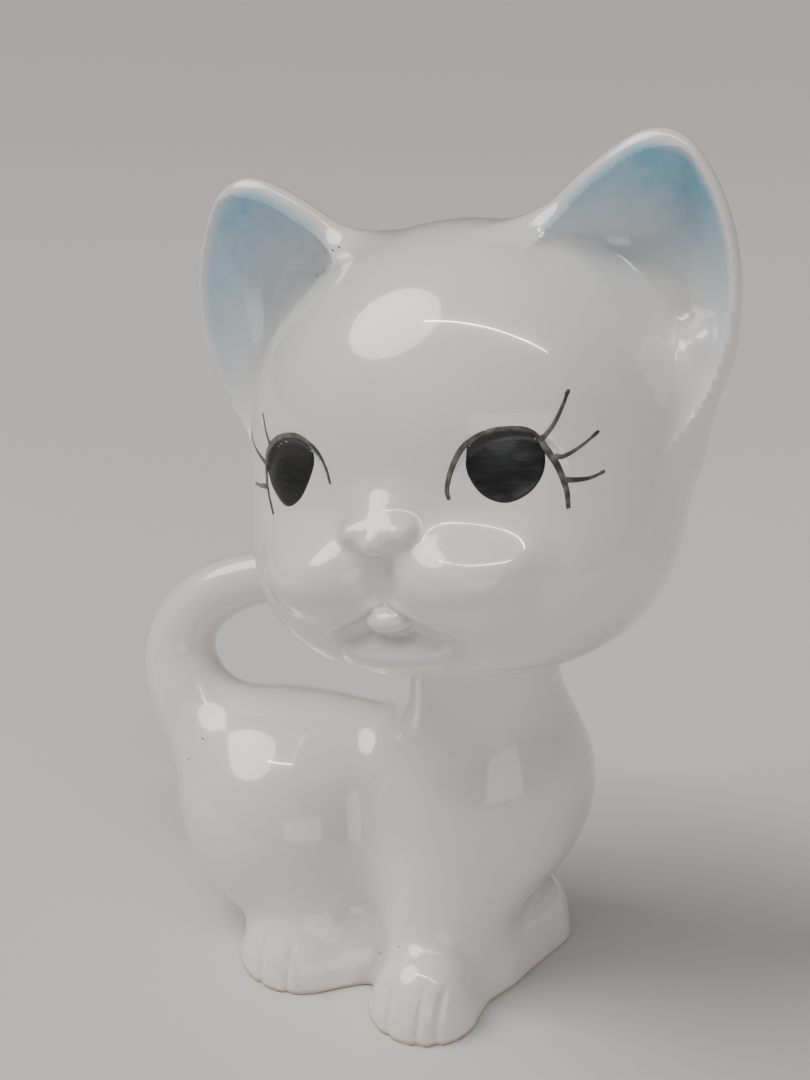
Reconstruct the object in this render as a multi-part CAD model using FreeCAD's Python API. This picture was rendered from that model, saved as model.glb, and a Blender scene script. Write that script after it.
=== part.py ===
import FreeCAD, Part
import math
import os

# Glazed ceramic kitten figurine, slip cast hollow and luted from several castings.
# Millimetres, +Z up. The kitten faces -Y, its left hand side is +X, the feet stand on z = 0.
# The origin lies on the standing plane under the middle of the figurine's outline.

# ---------------------------------------------------------------- driving dimensions
FRAME_SHIFT = (-0.95, 6.76, 0.0)      # from the modelling axes to the middle of the outline
WALL = 3.0                            # thickness of the cast clay wall
CLAY_FLOOR = 3.0                      # underside of the belly above the standing plane
VENT_RADIUS = 2.5                     # vent and drain hole in the belly
VENT_AT = (-15.0, -1.0)
NECK_OPENING = 7.0                    # radius of the passage between belly and head

HEAD_CENTRE = (12.5, -6.5, 83.5)
HEAD_ROLL = 9.0                       # degrees, the head leans to the kitten's right
HEAD_YAW = 1.0                        # degrees, the face turns to the kitten's left
CRANIUM = ((0.0, 3.0, 3.2), (31.7, 29.5, 29.0))
CHEEK = ((10.6, -7.5, -11.0), (18.2, 21.0, 15.5))
JAW = ((0.8, -12.0, -12.6), (20.5, 18.8, 14.4))
JAW_FLOOR = -26.4                     # level underside of the jaw, head axes
MUZZLE = ((8.8, -21.3, -7.2), (11.2, 12.2, 7.8))
BRIDGE = ((0.0, -22.5, -1.5), (5.0, 8.5, 5.0))
NOSE = ((0.0, -29.2, -0.3), (4.2, 4.0, 2.4))
CHIN = ((0.0, -26.9, -17.4), (8.5, 4.6, 2.5))
SOCKET = ((15.0, -33.0, 5.0), (8.0, 6.5, 7.0))

EAR_OUTER_ARC = (10.2, 22.1, 30.4)    # x, z, radius of the ear's outer edge, head axes
EAR_INNER_ARC = (48.5, -5.0, 51.0)    # x, z, radius of the ear's inner edge
EAR_MIDDLE = (25.0, 20.0)
EAR_FRONT = -1.0                      # y of the rim's front
EAR_THICKNESS = 4.0
EAR_BOWL = 7.5                        # depth of the hollow inside the ear
EAR_LEAN = 0.10

RUMP = ((-17.2, -7.0, 18.5), (17.3, 17.5, 17.0))
CHEST = ((16.3, 0.0, 28.0), (14.7, 15.2, 14.5))
BELLY = ((1.0, -4.0, 14.5), (12.0, 11.0, 11.5))
NECK = ((15.5, -1.0, 34.0), (13.0, -3.0, 62.0), 12.0, 11.0)
BACK = ((-17.0, -4.0, 24.0), (8.0, -3.0, 28.0), 10.5, 8.5)
FRONT_THIGH = ((14.4, -4.0, 22.5), (12.5, -14.0, 9.0), 13.3, 8.9)
REAR_THIGH = ((-14.5, -9.0, 16.0), (-9.2, -15.0, 7.5), 14.5, 9.8)
MIDRIFF_X = 1.5                       # plane where the rump and chest halves of the body meet

FRONT_FOOT = ((13.8, -14.0), (0.05, -1.0), 19.0, 8.5, 10.5)
FRONT_HEEL = ((20.2, -4.0), (-0.30, -1.0), 12.0, 6.8, 11.5)
REAR_FOOT = ((-8.4, -12.6), (0.10, -1.0), 14.6, 10.6, 9.5)
FRONT_TOES = (-2.9, 1.8, 4.4)         # grooves between the toes, across the foot
REAR_TOES = (-3.7, 1.0)
TOE_GROOVE_DEPTH = 0.5
TOE_GROOVE_WIDTH = 0.8

TAIL = [(-24.0, -6.0, 21.0, 11.0), (-30.4, -6.0, 26.5, 8.3), (-37.0, -5.0, 33.0, 7.0),
        (-40.4, -3.0, 39.8, 5.9), (-39.1, -1.0, 46.2, 5.3), (-34.2, 1.0, 50.9, 4.9),
        (-27.0, 2.5, 54.0, 4.5), (-16.0, 4.0, 56.5, 4.3), (-5.0, 5.0, 60.0, 4.3)]

ENAMEL = 0.2                          # thickness of the painted enamel on the glaze
# Painted outlines as x, z points in head axes.
IRIS = {
    "left": [(10.4, 6.0), (11.3, 8.6), (13.4, 9.4), (15.8, 9.4), (18.0, 8.5), (19.2, 6.4),
             (19.3, 3.8), (17.9, 1.8), (15.3, 0.9), (12.7, 1.8), (11.0, 3.8)],
    "right": [(-10.7, 6.6), (-11.2, 8.6), (-13.2, 9.4), (-15.6, 9.2), (-18.0, 8.2), (-19.6, 6.6),
              (-19.8, 4.6), (-18.3, 2.4), (-15.8, 0.6), (-13.4, 1.6), (-11.6, 4.2)],
}
LID_LINE = {
    "left": [(8.4, 1.9), (8.2, 3.2), (8.9, 5.6), (10.4, 8.0), (12.6, 9.6), (15.2, 9.8),
             (17.8, 9.0), (19.4, 6.4), (20.8, 4.0), (21.7, 1.5), (22.0, -0.8)],
    "right": [(-7.9, 4.0), (-8.6, 6.3), (-10.0, 8.3), (-12.4, 9.6), (-15.0, 9.6), (-17.6, 8.7),
              (-19.7, 6.9), (-20.1, 4.4), (-19.6, 2.0), (-18.3, -0.7)],
}
LASHES = {
    "left": [[(18.8, 7.3), (20.3, 9.0), (21.3, 11.1), (21.8, 12.7)],
             [(20.2, 5.3), (21.4, 5.2), (23.1, 5.9), (24.8, 7.1)],
             [(21.2, 2.6), (22.6, 2.2), (24.1, 2.0), (25.4, 2.3)]],
    "right": [[(-19.0, 8.0), (-20.0, 9.4), (-20.9, 11.6)],
              [(-20.1, 5.3), (-22.3, 6.0), (-24.4, 6.8), (-25.8, 8.0)],
              [(-20.0, 2.5), (-22.0, 2.1), (-23.8, 1.9)]],
}
LID_WIDTH = 0.75
LASH_WIDTHS = (0.65, 0.35)            # at the root and the tip
TONGUE = ((0.0, -29.6, -12.3), 3.4, 2.2)  # centre, radius across, radius upright


# ---------------------------------------------------------------- implicit form of the clay
def ellipsoid(p, shape):
    centre, radii = shape
    q = [(p[i] - centre[i]) / radii[i] for i in range(3)]
    k0 = math.sqrt(q[0] * q[0] + q[1] * q[1] + q[2] * q[2])
    k1 = math.sqrt(sum((q[i] / radii[i]) ** 2 for i in range(3))) + 1e-9
    return k0 * (k0 - 1.0) / k1


def blend(a, b, width):
    """Smooth union of two signed distances."""
    h = max(width - abs(a - b), 0.0) / width
    return min(a, b) - h * h * width * 0.25


def carve(a, b, width):
    """Smooth subtraction of b from a."""
    return -blend(-a, b, width)


def limb(p, shape):
    """Round limb: a ball at each end and the cone that touches both."""
    start, end, r_start, r_end = shape
    axis = [end[i] - start[i] for i in range(3)]
    rel = [p[i] - start[i] for i in range(3)]
    length2 = sum(c * c for c in axis)
    taper = r_start - r_end
    slope2 = length2 - taper * taper
    along = sum(rel[i] * axis[i] for i in range(3))
    beyond = along - length2
    across2 = sum((rel[i] * length2 - axis[i] * along) ** 2 for i in range(3))
    limit = math.copysign(taper * taper, taper) * across2
    if math.copysign(1.0, beyond) * slope2 * beyond * beyond * length2 > limit:
        return math.sqrt(across2 + beyond * beyond * length2) / length2 - r_end
    if math.copysign(1.0, along) * slope2 * along * along * length2 < limit:
        return math.sqrt(across2 + along * along * length2) / length2 - r_start
    return (math.sqrt(across2 * slope2 / length2) + along * taper) / length2 - r_start


def head_field(p):
    side = (abs(p[0]), p[1], p[2])
    d = ellipsoid(p, CRANIUM)
    d = blend(d, ellipsoid(side, CHEEK), 9.0)
    d = blend(d, ellipsoid(p, JAW), 6.0)
    d = blend(d, ellipsoid(side, MUZZLE), 3.5)
    d = carve(d, ellipsoid(side, SOCKET), 6.0)
    d = blend(d, ellipsoid(p, BRIDGE), 4.0)
    d = blend(d, ellipsoid(p, NOSE), 1.6)
    d = blend(d, ellipsoid(p, CHIN), 2.5)
    return carve(d, p[2] - JAW_FLOOR, 6.0)


def body_field(p):
    chest = blend(ellipsoid(p, CHEST), limb(p, NECK), 9.0)
    chest = blend(chest, limb(p, FRONT_THIGH), 6.0)
    rump = blend(ellipsoid(p, RUMP), limb(p, REAR_THIGH), 5.0)
    rump = blend(rump, limb(p, BACK), 7.0)
    return blend(blend(chest, rump, 7.0), ellipsoid(p, BELLY), 6.0)


def foot_slab(p, shape):
    """Long foot with a domed back, level underneath."""
    centre, heading, length, half_width, height = shape
    scale = math.hypot(heading[0], heading[1])
    ax, ay = heading[0] / scale, heading[1] / scale
    rx, ry = p[0] - centre[0], p[1] - centre[1]
    along = rx * ax + ry * ay
    across = ry * ax - rx * ay
    over = along - min(max(along, -length / 2.0), length / 2.0)
    rise = max(p[2], 0.0) * half_width / height
    return math.sqrt(over * over + across * across + rise * rise) - half_width


def toe_grooves(p, shape, grooves):
    """Depth of the grooves that run over the front of the foot between its toes."""
    centre, heading, length, half_width, height = shape
    scale = math.hypot(heading[0], heading[1])
    ax, ay = heading[0] / scale, heading[1] / scale
    rx, ry = p[0] - centre[0], p[1] - centre[1]
    along = rx * ax + ry * ay
    across = ry * ax - rx * ay
    share = min(max((along - length / 2.0 + 1.0) / 3.5, 0.0), 1.0)
    pits = sum(math.exp(-((across - groove) / TOE_GROOVE_WIDTH) ** 2) for groove in grooves)
    return TOE_GROOVE_DEPTH * share * share * (3.0 - 2.0 * share) * pits


def front_foot_field(p):
    d = blend(foot_slab(p, FRONT_FOOT), foot_slab(p, FRONT_HEEL), 5.0)
    return d + toe_grooves(p, FRONT_FOOT, FRONT_TOES)


def rear_foot_field(p):
    return foot_slab(p, REAR_FOOT) + toe_grooves(p, REAR_FOOT, REAR_TOES)


def ear_outline(x, z):
    outer = math.hypot(x - EAR_OUTER_ARC[0], z - EAR_OUTER_ARC[1]) - EAR_OUTER_ARC[2]
    inner = math.hypot(x - EAR_INNER_ARC[0], z - EAR_INNER_ARC[1]) - EAR_INNER_ARC[2]
    return -blend(-outer, -inner, 6.0)


# ---------------------------------------------------------------- surfaces from the form
def reach(field, start, heading, wall, limit):
    """Distance from start along heading to the skin, or to `wall` inside the skin."""
    def value(t):
        return field([start[i] + heading[i] * t for i in range(3)]) + wall

    low, high = 0.0, 0.0
    while high < limit:
        step = max(0.7 * abs(value(high)), 0.25)
        low, high = high, min(high + step, limit)
        if value(high) >= 0.0:
            break
    else:
        return limit
    for _ in range(16):
        middle = 0.5 * (low + high)
        if value(middle) >= 0.0:
            high = middle
        else:
            low = middle
    return 0.5 * (low + high)


def clamped_knots(count):
    """Knots and multiplicities of a cubic with free ends and `count` poles."""
    spans = count - 3
    knots = [float(k) for k in range(spans + 1)]
    return knots, [4] + [1] * (spans - 1) + [4]


def flatten_tips(rows):
    """Bring the ring beside a single end point level with it, so the tip is round."""
    for tip, beside, beyond in ((rows[0], rows[1], rows[2]), (rows[-1], rows[-2], rows[-3])):
        if len(tip) > 1:
            continue
        point = FreeCAD.Vector(*tip[0])
        centre = sum((FreeCAD.Vector(*p) for p in beyond), FreeCAD.Vector()) * (1.0 / len(beyond))
        axis = (centre - point).normalize()
        for j, p in enumerate(beside):
            offset = (FreeCAD.Vector(*p) - point).dot(axis)
            beside[j] = tuple(FreeCAD.Vector(*p) - axis * offset)


def skin(rows):
    """Closed solid over rings of poles, single points at an end make a round tip."""
    spokes = max(len(row) for row in rows)
    flatten_tips(rows)
    poles = [[FreeCAD.Vector(*row[j % len(row)]) for j in range(spokes)] for row in rows]
    row_knots, row_mults = clamped_knots(len(rows))
    turn_knots = [float(k) for k in range(spokes + 1)]
    surface = Part.BSplineSurface()
    surface.buildFromPolesMultsKnots(poles, row_mults, [1] * (spokes + 1),
                                     row_knots, turn_knots, False, True, 3, 3)
    faces = [surface.toShape()]
    for row, knot in ((rows[0], row_knots[0]), (rows[-1], row_knots[-1])):
        if len(row) > 1:
            faces.append(Part.Face(Part.Wire(surface.uIso(knot).toShape())))
    shell = Part.makeShell(faces)
    if len(faces) > 1:
        shell.sewShape()
    return only_solid(Part.makeSolid(shell))


def only_solid(shape):
    """The largest solid of a shape, so slivers left by a cut are dropped."""
    body = max(shape.Solids, key=lambda s: abs(s.Volume))
    if body.Volume < 0.0:
        body.reverse()
    return body


def head_body(wall):
    """Head without ears in its own axes, `wall` inside the skin."""
    rows_between, spokes = 44, 84
    middle = (0.0, 1.0, -0.5)
    rows = []
    for k in range(rows_between + 2):
        polar = math.pi * k / (rows_between + 1)
        row = []
        for j in range(spokes):
            turn = 2.0 * math.pi * j / spokes
            bearing = turn - 0.45 * math.sin(turn)
            flat = math.sin(polar)
            heading = (math.sin(bearing) * flat, -math.cos(bearing) * flat, -math.cos(polar))
            t = reach(head_field, middle, heading, wall, 60.0)
            row.append([middle[i] + heading[i] * t for i in range(3)])
            if k in (0, rows_between + 1):
                break
        rows.append(row)
    return skin(rows)


def rump_half(wall):
    """Rear half of the body, built of upright rings from its back end to the midriff."""
    rows_between, spokes = 16, 48
    middle = (RUMP[0][0], -7.0, 18.0)
    back = middle[0] - reach(body_field, middle, (-1.0, 0.0, 0.0), wall, 60.0)
    rows = [[(back, middle[1], middle[2])]]
    for k in range(1, rows_between + 1):
        share = k / rows_between
        x = back + (MIDRIFF_X - back) * (1.0 - math.cos(share * math.pi / 2.0))
        row = []
        for j in range(spokes):
            turn = 2.0 * math.pi * j / spokes
            heading = (0.0, math.cos(turn), math.sin(turn))
            t = reach(body_field, (x, middle[1], middle[2]), heading, wall, 60.0)
            row.append((x, middle[1] + heading[1] * t, middle[2] + heading[2] * t))
        rows.append(row)
    return skin(rows)


def chest_half(wall):
    """Chest and neck, built of level rings from the belly's underside into the head."""
    rows_between, spokes = 26, 56
    bottom = CLAY_FLOOR + wall
    top = 62.0
    rows = []
    for k in range(rows_between + 1):
        z = bottom + (top - bottom) * k / rows_between
        lowness = min(max((24.0 - z) / 21.0, 0.0), 1.0)
        middle = (14.5 - 1.5 * lowness, -2.5 - 12.5 * lowness, z)
        row = []
        for j in range(spokes):
            turn = 2.0 * math.pi * j / spokes
            heading = (math.cos(turn), math.sin(turn), 0.0)
            limit = 60.0
            if heading[0] < -0.01:
                limit = (middle[0] - MIDRIFF_X + 2.0) / -heading[0]
            t = reach(body_field, middle, heading, wall, limit)
            row.append((middle[0] + heading[0] * t, middle[1] + heading[1] * t, z))
        rows.append(row)
    half = skin(rows)
    beyond = Part.makeBox(60.0, 80.0, 80.0, FreeCAD.Vector(MIDRIFF_X, -40.0, 0.0))
    return only_solid(half.common(beyond))


def foot_body(field, centre, top):
    """Foot and ankle as level rings, flat on the standing plane."""
    rows_between, spokes = 10, 120
    rows = []
    for k in range(rows_between + 1):
        z = top * math.sin(0.5 * math.pi * k / rows_between)
        row = []
        for j in range(spokes):
            turn = 2.0 * math.pi * j / spokes
            heading = (math.cos(turn), math.sin(turn), 0.0)
            t = reach(field, (centre[0], centre[1], z), heading, 0.0, 60.0)
            row.append((centre[0] + heading[0] * t, centre[1] + heading[1] * t, z))
        rows.append(row)
    rows[-1] = [(centre[0], centre[1], top)]
    return skin(rows)


def body_outer():
    """Outside of the belly, chest and neck, level underneath."""
    floor = Part.makeBox(140.0, 140.0, 80.0, FreeCAD.Vector(-70.0, -70.0, CLAY_FLOOR))
    return rump_half(0.0).common(floor).fuse(chest_half(0.0))


def body_cavity():
    floor = Part.makeBox(140.0, 140.0, 80.0, FreeCAD.Vector(-70.0, -70.0, CLAY_FLOOR + WALL))
    return rump_half(WALL).common(floor).fuse(chest_half(WALL))


def smooth_path(stations, steps):
    """Catmull-Rom stations of a tube: x, y, z and radius."""
    first = [2.0 * a - b for a, b in zip(stations[0], stations[1])]
    last = [2.0 * a - b for a, b in zip(stations[-1], stations[-2])]
    knots = [first] + [list(s) for s in stations] + [last]
    path = []
    for i in range(1, len(knots) - 2):
        for k in range(steps):
            t = k / steps
            path.append([
                0.5 * (2.0 * b + (c - a) * t + (2.0 * a - 5.0 * b + 4.0 * c - d) * t * t
                       + (3.0 * b - a - 3.0 * c + d) * t ** 3)
                for a, b, c, d in zip(*knots[i - 1:i + 3])])
    path.append(knots[-2])
    return path


def tail_tube():
    """The tail from inside the rump to inside the head, a tapering round tube."""
    path = smooth_path(TAIL, 3)
    spokes = 24
    rings = []
    for i, station in enumerate(path):
        before = FreeCAD.Vector(*path[max(i - 1, 0)][:3])
        after = FreeCAD.Vector(*path[min(i + 1, len(path) - 1)][:3])
        level = (after - before).cross(FreeCAD.Vector(0.0, 1.0, 0.0)).normalize()
        upright = level.cross(after - before).normalize()
        centre = FreeCAD.Vector(*station[:3])
        row = []
        for j in range(spokes):
            turn = 2.0 * math.pi * j / spokes
            spoke = level * math.cos(turn) + upright * math.sin(turn)
            row.append(tuple(centre + spoke * station[3]))
        rings.append(row)
    return skin(rings)


def ear_shell(side):
    """Dished ear with a rolled rim, in head axes; side is +1 for the kitten's left."""
    spokes = 56
    inside_back = [(share / 8.0, 1.0) for share in range(1, 8)]
    rim = [(0.965, 0.86), (1.0, 0.5), (0.965, 0.14)]
    inside_front = [(share / 8.0, 0.0) for share in range(7, 0, -1)]

    def depth(share):
        return EAR_BOWL * (1.0 - max(0.0, 1.0 - (1.0 - share) * 1.45) ** 2)

    def station(x, z, share, back):
        y = EAR_FRONT + EAR_THICKNESS * back + depth(share) * (1.0 - 0.15 * back)
        return (side * x, y + EAR_LEAN * (z - 20.0), z)

    rows = [[station(EAR_MIDDLE[0], EAR_MIDDLE[1], 0.0, 1.0)]]
    for share, back in inside_back + rim + inside_front:
        row = []
        for j in range(spokes):
            turn = 2.0 * math.pi * j / spokes
            heading = (math.cos(turn), 0.0, math.sin(turn))
            t = share * reach(lambda p: ear_outline(p[0], p[2]),
                              (EAR_MIDDLE[0], 0.0, EAR_MIDDLE[1]), heading, 0.0, 60.0)
            row.append(station(EAR_MIDDLE[0] + heading[0] * t,
                               EAR_MIDDLE[1] + heading[2] * t, share, back))
        rows.append(row)
    rows.append([station(EAR_MIDDLE[0], EAR_MIDDLE[1], 0.0, 0.0)])
    return skin(rows)


# ---------------------------------------------------------------- painted enamel
def face_prism(outline):
    """Prism through the face from a closed outline of x, z points in head axes."""
    points = [FreeCAD.Vector(x, -45.0, z) for x, z in outline]
    wire = Part.makePolygon(points + [points[0]])
    return Part.Face(wire).extrude(FreeCAD.Vector(0.0, 40.0, 0.0))


def iris_outline(word):
    points = IRIS[word]
    looped = points[-1:] + points + points[:2]
    return smooth_path(looped, 4)[4:-5]


def stroke(points, widths):
    """Outline of a brush stroke along points with a width at each of them."""
    left, right = [], []
    for i, (x, z) in enumerate(points):
        ax, az = points[max(i - 1, 0)]
        bx, bz = points[min(i + 1, len(points) - 1)]
        scale = math.hypot(bx - ax, bz - az)
        nx, nz = -(bz - az) / scale, (bx - ax) / scale
        half = widths[i] / 2.0
        left.append((x + nx * half, z + nz * half))
        right.append((x - nx * half, z - nz * half))
    return left + right[::-1]


def lid_strokes(word):
    """Lid line round the top of the eye and the three lashes that leave it."""
    line = smooth_path(LID_LINE[word], 3)
    last = len(line) - 1
    widths = [LID_WIDTH * (0.5 + 0.5 * math.sin(math.pi * k / last)) for k in range(last + 1)]
    strokes = [stroke(line, widths)]
    root, tip = LASH_WIDTHS
    for lash in LASHES[word]:
        path = smooth_path(lash, 3)
        last = len(path) - 1
        widths = [root + (tip - root) * k / last for k in range(last + 1)]
        strokes.append(stroke(path, widths))
    return strokes


def enamel(prism, head, coated):
    """Layer of enamel lying on the glaze inside the prism."""
    return only_solid(prism.common(coated).cut(head))


def lid_prism(word):
    strokes = [face_prism(outline) for outline in lid_strokes(word)]
    whole = strokes[0]
    for lash in strokes[1:]:
        whole = whole.fuse(lash)
    return whole.cut(face_prism(iris_outline(word)))


# ---------------------------------------------------------------- pieces
def tongue_button():
    """Flattened round button, turned about its upright axis, in head axes."""
    centre, across, upright = TONGUE
    ellipse = Part.Ellipse(FreeCAD.Vector(), across, upright)
    arc = Part.ArcOfEllipse(ellipse, -math.pi / 2.0, math.pi / 2.0)
    axis = Part.makeLine(FreeCAD.Vector(0.0, upright, 0.0), FreeCAD.Vector(0.0, -upright, 0.0))
    half = Part.Face(Part.Wire([arc.toShape(), axis]))
    button = half.revolve(FreeCAD.Vector(), FreeCAD.Vector(0.0, 1.0, 0.0), 360.0)
    button.rotate(FreeCAD.Vector(), FreeCAD.Vector(1.0, 0.0, 0.0), 90.0)
    button.translate(FreeCAD.Vector(*centre))
    return button


def head_pose():
    turn = FreeCAD.Rotation(FreeCAD.Vector(0, 0, 1), HEAD_YAW)
    lean = FreeCAD.Rotation(FreeCAD.Vector(0, 1, 0), -HEAD_ROLL)
    return FreeCAD.Placement(FreeCAD.Vector(*HEAD_CENTRE), turn.multiply(lean))


def posed(shape):
    """Shape moved from the head's axes to the figurine's."""
    return shape.transformed(head_pose().toMatrix())


def neck_passage():
    start = FreeCAD.Vector(13.9, -2.3, 40.0)
    heading = FreeCAD.Vector(-2.5, -2.0, 28.0)
    return Part.makeCylinder(NECK_OPENING, 27.0, start, heading)


def make_pieces():
    head_local = head_body(0.0)
    coated_local = head_body(-ENAMEL)
    head = posed(head_local)
    body = body_outer()
    pieces = {}
    hollow_head = head.cut(posed(head_body(WALL)))
    pieces["head_shell"] = only_solid(hollow_head.cut(neck_passage()))
    vent = Part.makeCylinder(VENT_RADIUS, 12.0, FreeCAD.Vector(VENT_AT[0], VENT_AT[1], 0.0))
    pieces["body_shell"] = only_solid(body.cut(body_cavity()).cut(head).cut(vent))
    pieces["tail"] = only_solid(tail_tube().cut(body).cut(head))
    front_foot = foot_body(front_foot_field, (15.5, -12.0), 9.0)
    rear_foot = foot_body(rear_foot_field, (-8.4, -12.6), 9.0)
    pieces["front_foot"] = only_solid(front_foot.cut(body))
    pieces["rear_foot"] = only_solid(rear_foot.cut(body).cut(front_foot))
    for name, side in (("left", 1), ("right", -1)):
        pieces[name + "_ear"] = only_solid(posed(ear_shell(side).cut(head_local)))
        iris = enamel(face_prism(iris_outline(name)), head_local, coated_local)
        pieces[name + "_iris"] = posed(iris)
        lid = enamel(lid_prism(name), head_local, coated_local)
        pieces[name + "_eyelid_line"] = posed(lid)
    pieces["tongue"] = posed(only_solid(tongue_button().cut(head_local)))
    return pieces


def main():
    os.makedirs("parts", exist_ok=True)
    for name, shape in make_pieces().items():
        shape.translate(FreeCAD.Vector(*FRAME_SHIFT))
        box = shape.BoundBox
        print("%-20s valid=%s volume=%9.1f  x %.1f..%.1f  y %.1f..%.1f  z %.1f..%.1f" % (
            name, shape.isValid(), shape.Volume, box.XMin, box.XMax,
            box.YMin, box.YMax, box.ZMin, box.ZMax))
        shape.exportStep(os.path.join("parts", name + ".step"))


main()
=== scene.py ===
import math

import bpy
import numpy as np
from mathutils import Matrix, Vector


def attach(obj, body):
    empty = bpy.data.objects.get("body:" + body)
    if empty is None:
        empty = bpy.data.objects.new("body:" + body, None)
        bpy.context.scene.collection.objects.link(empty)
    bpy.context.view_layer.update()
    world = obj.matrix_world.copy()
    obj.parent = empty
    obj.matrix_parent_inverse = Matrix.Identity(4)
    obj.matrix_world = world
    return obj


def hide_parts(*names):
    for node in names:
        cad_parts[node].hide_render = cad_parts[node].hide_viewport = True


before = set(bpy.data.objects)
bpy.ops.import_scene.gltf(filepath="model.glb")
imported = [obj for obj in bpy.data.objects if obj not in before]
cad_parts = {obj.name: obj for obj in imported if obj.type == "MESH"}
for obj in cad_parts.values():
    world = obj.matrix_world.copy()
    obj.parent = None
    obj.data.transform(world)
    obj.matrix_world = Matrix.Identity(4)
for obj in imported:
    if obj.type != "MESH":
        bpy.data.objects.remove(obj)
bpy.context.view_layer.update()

# Glazed kitten figurine. The clay's form is one implicit surface in millimetres, meshed into
# pieces that share their seams; the enamel of the eyes is laid on it as thin brush work.

# ------------------------------------------------------------------ driving values
MM = 0.001
FRAME_SHIFT = (-0.95, 6.76, 0.0)      # modelling axes to the CAD frame, millimetres
CELL = 0.5     # mesh cell
COARSE = 4                            # coarse cells are this many fine cells
BATCH = 400000                        # points worked out at a time
FORM_LOW = (-50.0, -42.0, -2.0)
FORM_HIGH = (52.0, 28.0, 132.0)

HEAD_CENTRE = (12.5, -6.5, 83.5)
HEAD_ROLL = math.radians(9.0)
HEAD_YAW = math.radians(1.0)

# Masses of the head in its own axes: centre and radii. A mass at the side is mirrored.
# PHILTRUM is a limb, two ends and two radii, that is carved away.
CRANIUM = ((0.0, 3.0, 3.2), (31.7, 29.5, 29.0))
CHEEKS = ((10.6, -7.5, -11.0), (18.2, 21.0, 15.5))
CHEEK_SHIFT = 0.6                     # the cheeks sit a little towards the kitten's left
JAW = ((0.8, -12.0, -12.6), (20.5, 18.8, 14.4))
JAW_FLOOR = -26.4                     # level underside of the jaw
MUZZLE = ((8.6, -21.3, -7.4), (11.4, 12.4, 8.0))
SOCKETS = ((15.0, -33.0, 5.0), (8.0, 6.5, 7.0))
BRIDGE = ((0.0, -22.5, -1.5), (5.0, 8.5, 5.0))
PHILTRUM = ((0.0, -32.6, -4.6), (0.0, -32.2, -9.0), 1.5, 1.6)
NOSE_WINGS = ((3.0, -29.8, -1.0), (2.0, 2.0, 1.5))
NOSE_TIP = ((0.0, -30.6, -1.9), (2.2, 2.4, 1.8))
NOSE_TOP = ((0.0, -26.0, -1.0), (4.6, 5.0, 2.4))
CHIN = ((0.0, -26.9, -17.4), (8.5, 4.6, 2.5))
TONGUE = ((0.0, -29.6, -12.3), (3.4, 3.0, 1.9))

MOUTH_PEAK = -9.9                     # z of the lip's middle, head axes
MOUTH_HALF = 10.8                     # half width of the mouth
MOUTH_DEPTH = 1.1
LIP_ROLL = 0.3
LID_STEP = 0.7                        # how far the eye lies below its lid

EAR_OUTER = (10.2, 22.1, 30.4)        # x, z, radius of the outer edge's arc, head axes
EAR_INNER = (48.5, -5.0, 51.0)        # the same for the inner edge
EAR_FRONT = -1.0                      # y of the front of the rim
EAR_BACK = 3.0                        # y of its back
EAR_BOWL = 7.5                        # depth of the hollow
EAR_BOWL_BEHIND = 0.85                # the share of that depth by which the back bulges
EAR_LEAN = 0.10
EAR_LEVEL = 20.0                      # z where the lean is nothing
LEFT_EAR_ROOT = ((34.7, 3.0, 13.0), (29.9, 2.0, 0.0), 2.4, 2.2)

# Masses of the body: centre and radii, or the two ends and the two radii of a limb.
CHEST = ((16.3, 0.0, 28.0), (14.7, 15.2, 14.5))
NECK = ((15.5, -1.0, 34.0), (13.0, -3.0, 62.0), 12.0, 11.0)
FRONT_THIGH = ((14.4, -4.0, 22.5), (12.5, -14.0, 9.0), 13.3, 8.9)
RUMP = ((-17.2, -7.0, 18.5), (17.3, 17.5, 17.0))
REAR_THIGH = ((-14.5, -9.0, 16.0), (-9.2, -15.0, 7.5), 14.5, 9.8)
BACK = ((-20.0, -2.0, 24.0), (11.0, -1.0, 29.5), 11.0, 9.0)
BELLY = ((1.0, -4.0, 14.5), (12.0, 11.0, 11.5))

# Feet: centre, heading, length, half width and height of each slab.
FRONT_FOOT = ((13.8, -14.0), (0.05, -1.0), 19.0, 8.5, 10.5)
FRONT_HEEL = ((20.2, -4.0), (-0.30, -1.0), 12.0, 6.8, 11.5)
REAR_FOOT = ((-9.2, -12.6), (0.10, -1.0), 13.6, 10.4, 9.5)
REAR_SIDE = ((0.5, -12.0), (0.0, -1.0), 8.0, 7.0, 8.5)
FRONT_TOES = (-2.9, 1.8, 4.4)         # grooves between the toes, across the foot
REAR_TOES = (-3.7, 1.0)
TOE_DEPTH = 0.4
TOE_WIDTH = 0.5

# Stations of the tail: x, y, z and radius.
TAIL = ((-24.0, -6.0, 21.0, 11.0), (-30.4, -6.0, 26.5, 8.3), (-37.0, -5.0, 33.0, 7.0),
        (-40.4, -3.0, 39.8, 5.9), (-39.1, -1.0, 46.2, 5.3), (-34.2, 1.0, 50.9, 4.9),
        (-27.0, 2.5, 54.0, 4.5), (-16.0, 4.0, 56.5, 4.3), (-5.0, 5.0, 60.0, 4.3))

VENT = (-15.0, -1.0, 2.5)             # x, y, radius of the casting's vent hole
VENT_TOP = 11.0

CAMERA_AZIMUTH = math.radians(25.0)
CAMERA_PITCH = math.radians(22.0)
CAMERA_DISTANCE = 0.215               # metres, from the point looked at
CAMERA_HEIGHT = 0.066                 # metres, of that point
CAMERA_ANGLE = math.radians(42.0)
LIGHT_TARGET = (0.0, 0.0, 0.07)

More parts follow.
